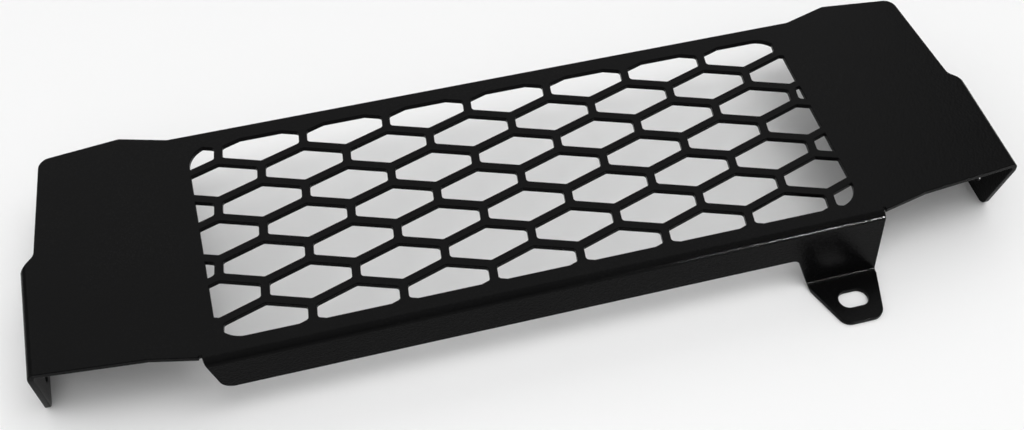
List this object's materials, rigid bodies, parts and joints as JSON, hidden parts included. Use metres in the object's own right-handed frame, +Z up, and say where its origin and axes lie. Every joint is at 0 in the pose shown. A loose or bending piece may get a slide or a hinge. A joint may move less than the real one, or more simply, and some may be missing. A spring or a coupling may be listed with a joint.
{
  "type": "motorcycle radiator guard",
  "caption": "Black powder-coated sheet-metal radiator guard: a leaning hexagon mesh in a flat plate, folded end ears with bolt holes, a front flange and a slotted mounting tab.",
  "frame": {"origin": "under the middle of the guard, on the surface that the ears and the tab stand on", "axes": "+X from ear to ear towards the end with the tab, +Y from the front flange to the back edge, +Z up through the mesh"},
  "size_m": [0.3442, 0.1204, 0.0328],
  "materials": {
    "powder_coat": "black satin powder coat with a fine grain"
  },
  "bodies": {
    "root": {"radiator_guard": "powder_coat"}
  },
  "joints": []
}
